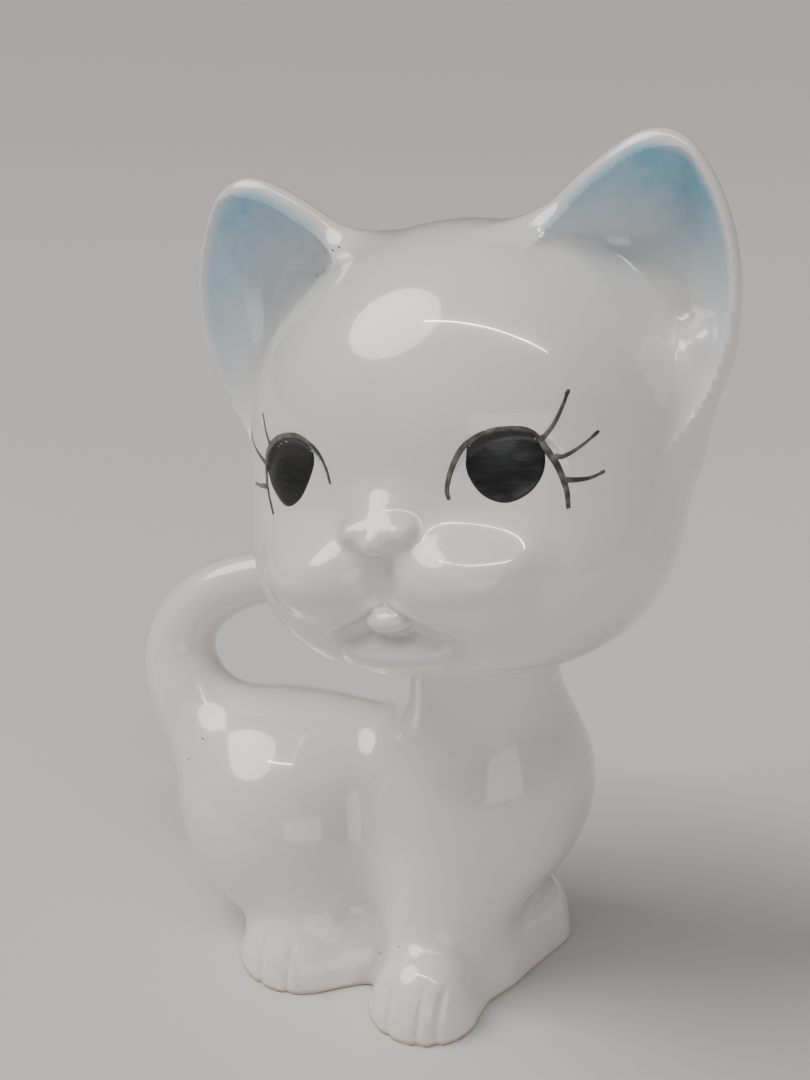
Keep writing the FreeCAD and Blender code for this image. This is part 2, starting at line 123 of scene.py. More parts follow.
# Colours, linear red, green and blue.
FLOOR_PALE = (0.64, 0.63, 0.61)
GLAZE_WARM = (0.83, 0.77, 0.73)
GLAZE_COOL = (0.78, 0.75, 0.73)
GLAZE_POOLED_SHADE = (0.56, 0.50, 0.46)     # painted shade in the folds, where the glaze also pools thicker
SPECK_BROWN = (0.16, 0.09, 0.05)
BARE_CLAY = (0.66, 0.57, 0.46)
SPRAY_BLUE = (0.15, 0.46, 0.64)
ENAMEL_BLACK = (0.006, 0.006, 0.006)
ENAMEL_GREY = (0.030, 0.030, 0.029)
# Painted warm reflection along the top edge of the irises.
ENAMEL_BROWN_REFLECTION = (0.060, 0.028, 0.012)
STROKE_DARK = (0.045, 0.038, 0.034)
STROKE_PALE = (0.16, 0.14, 0.125)

PIECES = ("head_shell", "left_ear", "right_ear", "body_shell", "tail",
          "front_foot", "rear_foot", "tongue")

LID_ARCH = {1: (15.1, 2.9, 6.9, 6.7), -1: (14.1, 3.4, 6.2, 6.2)}  # x, z and radii, head axes

# Painted outlines as x, z points in head axes.
IRIS = {
    "left": ((10.4, 6.0), (11.3, 8.6), (13.4, 9.4), (15.8, 9.4), (18.0, 8.5), (19.2, 6.4),
             (19.3, 3.8), (17.9, 1.8), (15.3, 0.9), (12.7, 1.8), (11.0, 3.8)),
    "right": ((-10.7, 6.6), (-11.2, 8.6), (-13.2, 9.4), (-15.6, 9.2), (-18.0, 8.2), (-19.6, 6.6),
              (-19.8, 4.6), (-18.3, 2.4), (-15.8, 0.6), (-13.4, 1.6), (-11.6, 4.2)),
}
LID_LINE = {
    "left": ((8.4, 1.9), (8.2, 3.2), (8.9, 5.6), (10.4, 8.0), (12.6, 9.3), (15.2, 9.5),
             (17.8, 8.8), (19.4, 6.4), (20.8, 4.0), (21.7, 1.5), (22.0, -0.8)),
    "right": ((-7.9, 4.0), (-8.6, 6.3), (-10.0, 8.3), (-12.4, 9.6), (-15.0, 9.6), (-17.6, 8.7),
              (-19.7, 6.9), (-20.1, 4.4), (-19.6, 2.0), (-18.3, -0.7)),
}
LASHES = {
    "left": (((18.8, 7.3), (20.3, 9.0), (21.3, 11.1), (21.8, 12.7)),
             ((20.2, 5.3), (21.4, 5.2), (23.1, 5.9), (24.8, 7.1)),
             ((21.2, 2.6), (22.6, 2.2), (24.1, 2.0), (25.4, 2.3))),
    "right": (((-19.0, 8.0), (-20.0, 9.4), (-20.9, 11.6)),
              ((-20.1, 5.3), (-22.3, 6.0), (-24.4, 6.8), (-25.8, 8.0)),
              ((-20.0, 2.5), (-22.0, 2.1), (-23.8, 1.9))),
}
FOLD_SHADE_REACH = 3.0                      # how far out the folds are felt for their painted shade
SPRAY_END = (17.0, 10.0)              # x, z in head axes that the spray fades towards
SPRAY_FADE = (13.0, 19.0)             # distance from there where it starts, and its depth
SOLE_WANDER = 0.0010                  # metres, how far the glaze's edge wanders at the soles
SOLE_EDGE = (0.0001, 0.0005)          # metres, from bare clay to glaze

LID_WIDTH = 0.8                       # of the brush at the middle of the lid line
LASH_WIDTHS = (0.7, 0.3, 0.5)         # at the root, near the tip and in the drop at the tip


# ------------------------------------------------------------------ head axes
def head_axes():
    """Rows are the head's x, y and z directions in modelling axes."""
    roll = Matrix.Rotation(-HEAD_ROLL, 3, "Y")
    yaw = Matrix.Rotation(HEAD_YAW, 3, "Z")
    turned = yaw @ roll
    return np.array([list(turned.col[i]) for i in range(3)])


HEAD_AXES = head_axes()


def into_head(p):
    q = [p[i] - HEAD_CENTRE[i] for i in range(3)]
    return [sum(q[i] * HEAD_AXES[k][i] for i in range(3)) for k in range(3)]


def out_of_head(p):
    return [HEAD_CENTRE[i] + sum(p[k] * HEAD_AXES[k][i] for k in range(3)) for i in range(3)]


# ------------------------------------------------------------------ implicit form
def blend(a, b, width):
    """Smooth union of two signed distances."""
    h = np.maximum(width - np.abs(a - b), 0.0) / width
    return np.minimum(a, b) - h * h * (width * 0.25)


def carve(a, b, width):
    """Smooth subtraction of b from a."""
    return -blend(-a, b, width)


def ellipsoid(p, centre, radii):
    q = [(p[i] - centre[i]) / radii[i] for i in range(3)]
    k0 = np.sqrt(q[0] ** 2 + q[1] ** 2 + q[2] ** 2)
    k1 = np.sqrt(sum((q[i] / radii[i]) ** 2 for i in range(3))) + 1e-9
    return k0 * (k0 - 1.0) / k1


def limb(p, start, end, r_start, r_end):
    """Round limb: a ball at each end and the cone that touches both."""
    axis = [end[i] - start[i] for i in range(3)]
    rel = [p[i] - start[i] for i in range(3)]
    length2 = sum(c * c for c in axis)
    taper = r_start - r_end
    slope2 = length2 - taper * taper
    along = sum(rel[i] * axis[i] for i in range(3))
    beyond = along - length2
    across2 = sum((rel[i] * length2 - axis[i] * along) ** 2 for i in range(3))
    limit = math.copysign(taper * taper, taper) * across2
    side = (np.sqrt(across2 * slope2 / length2) + along * taper) / length2 - r_start
    near_end = np.sign(beyond) * slope2 * beyond * beyond * length2 > limit
    near_start = np.sign(along) * slope2 * along * along * length2 < limit
    end_ball = np.sqrt(across2 + beyond * beyond * length2) / length2 - r_end
    start_ball = np.sqrt(across2 + along * along * length2) / length2 - r_start
    return np.where(near_end, end_ball, np.where(near_start, start_ball, side))


def nearby(p, low, high, field, far=20.0):
    """The field inside a box, and a large distance elsewhere."""
    inside = np.ones(p[0].shape, bool)
    for i in range(3):
        inside &= (p[i] > low[i]) & (p[i] < high[i])
    result = np.full(p[0].shape, far, p[0].dtype)
    if inside.any():
        result[inside] = field([c[inside] for c in p])
    return result


def smooth_step(t):
    t = np.clip(t, 0.0, 1.0)
    return t * t * (3.0 - 2.0 * t)


def mirrored(h, shift=0.0):
    """Head coordinates folded over the middle of the face."""
    return [np.abs(h[0] - shift), h[1], h[2]]


def nose_field(h):
    """Small button nose: two wings, a tip below and between them, a soft bridge above."""
    wings = ellipsoid(mirrored(h), *NOSE_WINGS)
    return blend(blend(wings, ellipsoid(h, *NOSE_TIP), 0.9), ellipsoid(h, *NOSE_TOP), 1.6)


def mouth_relief(h):
    """How far the surface sinks (+) or rises (-) round the mouth."""
    side = np.abs(h[0])
    lip = MOUTH_PEAK - 0.40 * side - 0.012 * side * side
    below = lip - h[2]
    reach = smooth_step((MOUTH_HALF - side) / 3.0)
    hollow = smooth_step(below / 1.3) * smooth_step((6.0 - below) / 3.5) * reach
    roll = np.exp(-((below + 0.35) / 0.7) ** 2) * reach
    return MOUTH_DEPTH * hollow - LIP_ROLL * roll


def eye_relief(h):
    """The eye sinks under its lid, a sharp step above that fades out below."""
    sunk = 0.0
    for side, (cx, cz, rx, rz) in LID_ARCH.items():
        x = (side * h[0] - cx) / rx
        z = (h[2] - cz) / rz
        sunk = sunk + smooth_step((1.0 - np.hypot(x, z)) / 0.16) * smooth_step((z + 0.2) / 1.1)
    return LID_STEP * sunk


def add_relief(h, d):
    """Adds the mouth and the eyelids to the front of the head."""
    front = (h[1] < -16.0) & (np.abs(h[0]) < 28.0) & (np.abs(h[2]) < 26.0)
    d = np.array(d)
    if front.any():
        face = [c[front] for c in h]
        d[front] += mouth_relief(face) + eye_relief(face)
    return d


def head_field(h):
    d = blend(ellipsoid(h, *CRANIUM), ellipsoid(mirrored(h, CHEEK_SHIFT), *CHEEKS), 9.0)
    d = blend(d, ellipsoid(h, *JAW), 6.0)
    d = blend(d, ellipsoid(mirrored(h), *MUZZLE), 2.2)
    d = carve(d, ellipsoid(mirrored(h), *SOCKETS), 6.0)
    d = blend(d, ellipsoid(h, *BRIDGE), 4.0)
    d = carve(d, limb(h, *PHILTRUM), 1.6)
    d = blend(d, nose_field(h), 1.0)
    d = add_relief(h, d)
    d = blend(d, ellipsoid(h, *CHIN), 2.5)
    return carve(d, h[2] - JAW_FLOOR, 6.0)


def ear_edge(x, z):
    """Distance to the ear's outline, negative inside, and the width of its rim there."""
    outer = np.hypot(x - EAR_OUTER[0], z - EAR_OUTER[1]) - EAR_OUTER[2]
    inner = np.hypot(x - EAR_INNER[0], z - EAR_INNER[1]) - EAR_INNER[2]
    rim = 1.6 + 1.6 * smooth_step(0.5 + (inner - outer) / 10.0)
    return -blend(-outer, -inner, 6.0), rim


def ear_bowl(edge, rim):
    """Depth of the hollow inside the rim."""
    return EAR_BOWL * (1.0 - (1.0 - np.clip((-edge - rim) / 9.0, 0.0, 1.0)) ** 2)


def ear_field(h, side):
    """Scooped ear: a rolled rim, narrow outside and broad inside, round a deep bowl."""
    x, y, z = h[0] * side, h[1], h[2]
    edge, rim = ear_edge(x, z)
    bowl = ear_bowl(edge, rim)
    lean = EAR_LEAN * (z - EAR_LEVEL)
    front = y - EAR_FRONT - bowl - lean
    back = y - EAR_BACK - bowl * EAR_BOWL_BEHIND - lean
    sheet = -blend(front, -back, 2.5)
    d = -blend(-edge, -sheet, 4.0)
    return blend(d, limb([x, y, z], *LEFT_EAR_ROOT), 4.0) if side > 0 else d


def tongue_field(h):
    return ellipsoid(h, *TONGUE)


def foot_axes(p, centre, heading):
    """Distances along and across a foot from its centre."""
    scale = math.hypot(*heading)
    ax, ay = heading[0] / scale, heading[1] / scale
    rx, ry = p[0] - centre[0], p[1] - centre[1]
    return rx * ax + ry * ay, ry * ax - rx * ay


def foot_slab(p, centre, heading, length, half_width, height):
    """Long foot with a domed back, level underneath."""
    along, across = foot_axes(p, centre, heading)
    over = along - np.clip(along, -length / 2.0, length / 2.0)
    rise = np.maximum(p[2], 0.0) * (half_width / height)
    return np.sqrt(over ** 2 + across ** 2 + rise ** 2) - half_width


def toe_relief(p, foot, grooves):
    """Depth of the grooves that run over the front of the foot between its toes."""
    centre, heading, length = foot[:3]
    along, across = foot_axes(p, centre, heading)
    reach = smooth_step((along - length / 2.0 + 1.0) / 3.5) * smooth_step((8.6 - p[2]) / 2.5)
    return TOE_DEPTH * reach * sum(np.exp(-((across - g) / TOE_WIDTH) ** 2) for g in grooves)


def front_foot_field(p):
    d = blend(foot_slab(p, *FRONT_FOOT), foot_slab(p, *FRONT_HEEL), 5.0)
    return d + toe_relief(p, FRONT_FOOT, FRONT_TOES)


def rear_foot_field(p):
    d = blend(foot_slab(p, *REAR_FOOT), foot_slab(p, *REAR_SIDE), 4.0)
    return d + toe_relief(p, REAR_FOOT, REAR_TOES)


def body_field(p):
    chest = blend(ellipsoid(p, *CHEST), limb(p, *NECK), 9.0)
    chest = blend(chest, limb(p, *FRONT_THIGH), 6.0)
    rump = blend(ellipsoid(p, *RUMP), limb(p, *REAR_THIGH), 5.0)
    rump = blend(rump, limb(p, *BACK), 7.0)
    return blend(blend(chest, rump, 7.0), ellipsoid(p, *BELLY), 6.0)


def smooth_path(stations, steps):
    """Catmull-Rom points through the stations, each x, y, z and radius."""
    knots = np.array(stations)
    knots = np.vstack([2.0 * knots[0] - knots[1], knots, 2.0 * knots[-1] - knots[-2]])
    path = []
    for i in range(1, len(knots) - 2):
        a, b, c, d = knots[i - 1:i + 3]
        for k in range(steps):
            t = k / steps
            path.append(0.5 * (2.0 * b + (c - a) * t + (2.0 * a - 5.0 * b + 4.0 * c - d) * t * t
                               + (3.0 * b - a - 3.0 * c + d) * t ** 3))
    path.append(knots[-2])
    return np.array(path)


TAIL_PATH = smooth_path(TAIL, 7)


def smooth_loop(points, steps):
    """Closed Catmull-Rom outline through the points."""
    looped = list(points[-1:]) + list(points) + list(points[:2])
    return smooth_path(looped, steps)[steps:-steps - 1]


def tail_field(p):
    d = None
    for a, b in zip(TAIL_PATH[:-1], TAIL_PATH[1:]):
        piece = limb(p, a[:3], b[:3], a[3], b[3])
        d = piece if d is None else np.minimum(d, piece)
    return d


def piece_fields(p):
    """Signed distance to each piece on its own."""
    h = into_head(p)
    return {
        "head_shell": head_field(h),
        "left_ear": nearby(h, (0, -14, -12), (48, 24, 50), lambda q: ear_field(q, 1.0)),
        "right_ear": nearby(h, (-48, -14, -12), (0, 24, 50), lambda q: ear_field(q, -1.0)),
        "body_shell": body_field(p),
        "tail": nearby(p, (-56, -24, 4), (6, 18, 72), tail_field),
        "front_foot": nearby(p, (-2, -40, -4), (38, 14, 20), front_foot_field),
        "rear_foot": nearby(p, (-26, -40, -4), (10, 14, 20), rear_foot_field),
        "tongue": nearby(h, (-8, -38, -20), (8, -20, -6), tongue_field),
    }


def whole_form(p, parts=None):
    """The figurine's clay as one smooth surface."""
    parts = parts or piece_fields(p)
    d = blend(parts["head_shell"], parts["left_ear"], 6.0)
    d = blend(d, parts["right_ear"], 6.0)
    body = blend(parts["body_shell"], parts["front_foot"], 3.0)
    body = blend(body, parts["rear_foot"], 3.0)
    body = blend(body, parts["tail"], 8.0)
    d = blend(d, body, 4.0)
    d = blend(d, parts["tongue"], 0.6)
    vent = np.maximum(np.hypot(p[0] - VENT[0], p[1] - VENT[1]) - VENT[2], p[2] - VENT_TOP)
    d = carve(d, vent, 0.6)
    return carve(d, p[2], 0.5)


def gradient(p, step=0.04):
    """Slope of the form at the points, an n by 3 array that points outwards."""
    columns = []
    for i in range(3):
        ahead = [c + step if k == i else c for k, c in enumerate(p)]
        behind = [c - step if k == i else c for k, c in enumerate(p)]
        columns.append((whole_form(ahead) - whole_form(behind)) / (2.0 * step))
    return np.stack(columns, axis=1)


# ------------------------------------------------------------------ meshing
def axis_points(step):
    return [np.arange(lo, hi + step, step) for lo, hi in zip(FORM_LOW, FORM_HIGH)]


def refine(values, factor):
    """Trilinear values on a grid `factor` times finer."""
    for axis in range(3):
        count = (values.shape[axis] - 1) * factor + 1
        where = np.arange(count) / factor
        low = np.minimum(where.astype(int), values.shape[axis] - 2)
        share = (where - low).astype(np.float32)
        share = share.reshape([-1 if k == axis else 1 for k in range(3)])
        values = (np.take(values, low, axis) * (1.0 - share)
                  + np.take(values, low + 1, axis) * share)
    return values


def sample_form():
    """Fine grid of the form's distance and of each corner's piece, 0 outside the clay."""
    axes = axis_points(CELL * COARSE)
    grid = np.meshgrid(*axes, indexing="ij")
    flat = [g.ravel() for g in grid]
    parts = piece_fields(flat)
    shape = grid[0].shape
    distance = refine(whole_form(flat, parts).reshape(shape).astype(np.float32), COARSE)
    nearest = np.full(distance.shape, 1e9, np.float32)
    owner = np.zeros(distance.shape, np.uint8)
    for number, name in enumerate(PIECES, start=1):
        own = refine(parts[name].reshape(shape).astype(np.float32), COARSE)
        closer = own < nearest
        nearest[closer] = own[closer]
        owner[closer] = number
    band = np.nonzero(np.abs(distance) < 1.1 * CELL * COARSE + 0.4)
    for start in range(0, len(band[0]), BATCH):
        part = tuple(index[start:start + BATCH] for index in band)
        points = [FORM_LOW[i] + part[i] * CELL for i in range(3)]
        distance[part] = whole_form(points)
    owner[distance >= 0.0] = 0
    return distance, owner


def cell_corners():
    return [(i, j, k) for i in (0, 1) for j in (0, 1) for k in (0, 1)]


def form_vertices(distance, owner):
    """One vertex for every cell where pieces or the outside meet."""
    corners = cell_corners()
    size = [n - 1 for n in owner.shape]

    def shifted(values, corner):
        return values[tuple(slice(c, c + n) for c, n in zip(corner, size))]

    first = shifted(owner, corners[0])
    mixed = np.zeros(size, bool)
    touches_outside = first == 0
    for corner in corners[1:]:
        other = shifted(owner, corner)
        mixed |= other != first
        touches_outside = touches_outside | (other == 0)
    cells = np.argwhere(mixed)
    number = np.full(size, -1, np.int64)
    number[mixed] = np.arange(len(cells))
    outer = touches_outside[mixed]
    total = np.zeros((len(cells), 3))
    hits = np.zeros(len(cells))
    for a in corners:
        for axis in range(3):
            if a[axis]:
                continue
            b = tuple(1 if k == axis else c for k, c in enumerate(a))
            va = distance[tuple((cells + a).T)]
            vb = distance[tuple((cells + b).T)]
            crossed = (va < 0.0) != (vb < 0.0)
            t = np.where(crossed, va / np.where(crossed, va - vb, 1.0), 0.0)
            point = np.array(a) + np.outer(t, np.array(b) - np.array(a))
            total[crossed] += point[crossed]
            hits[crossed] += 1
    centre = np.where(hits[:, None] > 0, total / np.maximum(hits, 1)[:, None], 0.5)
    vertices = (cells + centre) * CELL + np.array(FORM_LOW)
    return vertices, outer & (hits > 0), number


def settle(vertices, outer):
    """Moves the outer vertices onto the form and returns their normals."""
    points = vertices[outer]
    normals = None
    for _ in range(2):
        columns = [points[:, i] for i in range(3)]
        slope = gradient(columns)
        steepness = np.sum(slope ** 2, axis=1) + 1e-9
        step = -(whole_form(columns) / steepness)[:, None] * slope
        reach = np.linalg.norm(step, axis=1)
        step *= np.minimum(1.0, 0.6 * CELL / np.maximum(reach, 1e-9))[:, None]
        points = points + step
        normals = slope
    vertices[outer] = points
    every = np.zeros_like(vertices)
    every[outer] = normals / (np.linalg.norm(normals, axis=1)[:, None] + 1e-9)
    return vertices, every


def form_quads(owner, number):
    """Quads between unlike corners, with the pieces behind and in front of each."""
    quads, behind, ahead = [], [], []
    for axis in range(3):
        here = [slice(None)] * 3
        there = [slice(None)] * 3
        here[axis], there[axis] = slice(0, -1), slice(1, None)
        a, b = owner[tuple(here)], owner[tuple(there)]
        edges = np.argwhere(a != b)
        u, v = [(1, 2), (2, 0), (0, 1)][axis]
        limit = [n - 1 for n in owner.shape]
        inside = ((edges[:, u] > 0) & (edges[:, v] > 0)
                  & (edges[:, u] < limit[u]) & (edges[:, v] < limit[v]))
        edges = edges[inside]
        du = np.eye(3, dtype=int)[u]
        dv = np.eye(3, dtype=int)[v]
        ring = [number[tuple((edges - du * i - dv * j).T)]
                for i, j in ((1, 1), (0, 1), (0, 0), (1, 0))]
        quads.append(np.stack(ring, axis=1))
        behind.append(a[tuple(edges.T)])
        ahead.append(b[tuple(edges.T)])
    return np.vstack(quads), np.concatenate(behind), np.concatenate(ahead)


def new_mesh_object(name, vertices, faces, normals=None):
    """Mesh from millimetre vertices in modelling axes."""
    mesh = bpy.data.meshes.new(name)
    placed = (np.asarray(vertices) + np.array(FRAME_SHIFT)) * MM
    mesh.from_pydata(placed.tolist(), [], [list(map(int, f)) for f in faces])
    mesh.shade_smooth()
    if normals is not None:
        mesh.normals_split_custom_set_from_vertices(normals.tolist())
    mesh.update()
    piece = bpy.data.objects.new(name, mesh)
    bpy.context.collection.objects.link(piece)
    return piece


def crease_shade_share(vertices, normals):
    """Painted shade: 0 on open glaze, up to 1 deep in a fold, felt a little way out from the
    surface.
    """
    probe = vertices + normals * FOLD_SHADE_REACH
    distance = whole_form([probe[:, i] for i in range(3)])
    return np.clip(1.0 - distance / FOLD_SHADE_REACH, 0.0, 1.0)


def spray_share(vertices):
    """Strength of the blue spray in the hollow of the ears."""
    h = into_head([vertices[:, i] for i in range(3)])
    x, z = np.abs(h[0]), h[2]
    edge, rim = ear_edge(x, z)
    away = np.hypot(x - SPRAY_END[0], z - SPRAY_END[1])
    strength = smooth_step((away - SPRAY_FADE[0]) / SPRAY_FADE[1])
    inside = smooth_step((-edge - 1.3) / 1.6)
    depth = 0.5 * (1.0 + EAR_BOWL_BEHIND) * ear_bowl(edge, rim)
    middle = 0.5 * (EAR_FRONT + EAR_BACK) + depth + EAR_LEAN * (z - EAR_LEVEL)
    front = smooth_step((middle - h[1]) / 1.2)
    return strength * inside * front


def add_share(piece, name, values):
    """A value for each vertex that a material can read by name."""
    layer = piece.data.attributes.new(name, "FLOAT", "POINT")
    layer.data.foreach_set("value", np.asarray(values, np.float32))


def clay_pieces():
    """One closed object for each clay piece, with seams that meet exactly."""
    distance, owner = sample_form()
    vertices, outer, number = form_vertices(distance, owner)
    vertices, normals = settle(vertices, outer)
    quads, behind, ahead = form_quads(owner, number)
    objects = {}
    for label, name in enumerate(PIECES, start=1):
        forward = quads[behind == label]
        backward = quads[ahead == label][:, ::-1]
        faces = np.vstack([forward, backward])
        used, local = np.unique(faces, return_inverse=True)
        piece = new_mesh_object(name + "_look", vertices[used],
                                local.reshape(faces.shape), normals[used])
        # The fold share darkens the glaze in the folds as painted shade.
        add_share(piece, "fold_shade", crease_shade_share(vertices[used], normals[used]))
        if name.endswith("ear"):
            add_share(piece, "spray", spray_share(vertices[used]))
        objects[name] = piece
    return objects


# ------------------------------------------------------------------ enamel brush work
def glaze_front(x, z):
    """y of the face's surface in head axes at x, z."""
    x, z = np.asarray(x, float), np.asarray(z, float)
    near = np.full(x.shape, -45.0)
    far = np.full(x.shape, -6.0)
    for _ in range(26):
        middle = 0.5 * (near + far)
        outside = head_field([x, middle, z]) > 0.0
        near = np.where(outside, middle, near)
        far = np.where(outside, far, middle)
    return 0.5 * (near + far)


def enamel_layer(name, x, z, lift, faces, edge):
    """Closed thin layer on the face: a lifted top, a buried bottom and a rim along edge."""
    x, z, lift = np.asarray(x), np.asarray(z), np.asarray(lift)
    surface = glaze_front(x, z)
    top = np.stack(out_of_head([x, surface - lift, z]), axis=1)
    bottom = np.stack(out_of_head([x, surface + 0.25, z]), axis=1)
    count = len(x)
    every = [list(f) for f in faces]
    every += [[i + count for i in reversed(f)] for f in faces]
    for a, b in zip(edge, edge[1:] + edge[:1]):
        every.append([b, a, a + count, b + count])
    return new_mesh_object(name, np.vstack([top, bottom]), every)


def iris_layer(name, outline, side):
    """Painted iris: rings that shrink from the outline to its middle, slightly domed."""
    rings = 12
    rim = smooth_loop(outline, 6)
    middle = rim.mean(axis=0)
    spokes = len(rim)
    x, z, lift = [middle[0]], [middle[1]], [0.14]
    for ring in range(1, rings + 1):
        share = ring / rings
        for point in middle + (rim - middle) * share:
            x.append(point[0])
            z.append(point[1])
            lift.append(0.12 * (1.0 - share ** 6) + 0.02)
    faces = []
    for s in range(spokes):
        after = (s + 1) % spokes
        faces.append([0, 1 + after, 1 + s])
        for ring in range(1, rings):
            low, high = 1 + (ring - 1) * spokes, 1 + ring * spokes
            faces.append([low + s, low + after, high + after, high + s])
    edge = [1 + (rings - 1) * spokes + s for s in range(spokes)][::-1]
    if side < 0:
        faces = [f[::-1] for f in faces]
        edge = edge[::-1]
    piece = enamel_layer(name, x, z, lift, faces, edge)
    # The top share places a painted reflection along the iris's upper edge.
    top = (np.array(z) - min(z)) / (max(z) - min(z))
    add_share(piece, "thin", np.tile(top, 2) ** 3)
    return piece


def stroke_layer(name, points, widths):
    """Brush stroke along points in head x, z, thickest along its middle."""
    points = np.array(points)
    tangent = np.gradient(points, axis=0)
    tangent /= np.linalg.norm(tangent, axis=1)[:, None]
    normal = np.stack([-tangent[:, 1], tangent[:, 0]], axis=1)
    across = (-0.5, -0.25, 0.0, 0.25, 0.5)
    raised = (0.02, 0.08, 0.10, 0.08, 0.02)
    x, z, lift = [], [], []
    for i, width in enumerate(widths):
        for share, height in zip(across, raised):
            x.append(points[i, 0] + normal[i, 0] * share * width)
            z.append(points[i, 1] + normal[i, 1] * share * width)
            lift.append(height)
    lanes, rows = len(across), len(points)
    faces = [[i * lanes + j, i * lanes + j + 1, (i + 1) * lanes + j + 1, (i + 1) * lanes + j]
             for i in range(rows - 1) for j in range(lanes - 1)]
    edge = [i * lanes for i in range(rows)]
    edge += [(rows - 1) * lanes + j for j in range(1, lanes)]
    edge += [i * lanes + lanes - 1 for i in range(rows - 2, -1, -1)]
    edge += [j for j in range(lanes - 2, 0, -1)]
    faces = [f[::-1] for f in faces]
    return enamel_layer(name, x, z, lift, faces, edge)


# ------------------------------------------------------------------ camera, light, floor
def look_at(thing, target):
    heading = Vector(target) - thing.location
    thing.rotation_euler = heading.to_track_quat("-Z", "Y").to_euler()


def add_camera():
    target = Vector((FRAME_SHIFT[0] * MM, FRAME_SHIFT[1] * MM, CAMERA_HEIGHT))
    back = Vector((math.sin(CAMERA_AZIMUTH) * math.cos(CAMERA_PITCH),
                   -math.cos(CAMERA_AZIMUTH) * math.cos(CAMERA_PITCH),
                   math.sin(CAMERA_PITCH)))
    data = bpy.data.cameras.new("camera")
    data.sensor_fit = "VERTICAL"
    data.angle = CAMERA_ANGLE
    data.clip_start = 0.01
    camera = bpy.data.objects.new("camera", data)
    bpy.context.collection.objects.link(camera)
    camera.location = target + back * CAMERA_DISTANCE
    look_at(camera, target)
    bpy.context.scene.camera = camera


def add_light(name, kind, location, power, colour=(1.0, 1.0, 1.0)):
    """Light of a kind at a place, aimed at the middle of the figurine."""
    data = bpy.data.lights.new(name, kind)
    data.energy = power
    data.color = colour
    light = bpy.data.objects.new(name, data)
    bpy.context.collection.objects.link(light)
    light.location = location
    look_at(light, LIGHT_TARGET)
    return light


def panel(light, width, height):
    light.data.shape = "RECTANGLE"
    light.data.size, light.data.size_y = width, height


def add_world():
    world = bpy.data.worlds.new("studio")
    world.use_nodes = True
    background = world.node_tree.nodes["Background"]
    background.inputs["Color"].default_value = (0.93, 0.94, 0.96, 1.0)
    background.inputs["Strength"].default_value = 0.20
    bpy.context.scene.world = world


def add_floor():
    bpy.ops.mesh.primitive_plane_add(size=60.0, location=(0.0, 0.0, 0.0))
    floor = bpy.context.object
    floor.name = "floor"
    floor.data.materials.append(floor_material())


def add_studio():
    """Wide soft key, a cool fill and a thin tube overhead that draws the highlights."""
    key = add_light("soft_key", "SUN", (-1.5, -0.7, 2.4), 2.3, (1.0, 0.97, 0.94))
    key.data.angle = math.radians(38.0)
    fill = add_light("soft_fill", "AREA", (1.6, -2.2, 0.7), 12.0, (0.95, 0.97, 1.0))
    panel(fill, 2.0, 1.2)
    tube = add_light("tube", "AREA", (0.21, -0.30, 1.10), 3.5)
    panel(tube, 1.1, 0.012)
    tube.rotation_euler = (0.0, 0.0, math.radians(4.0))
    add_world()
    add_floor()


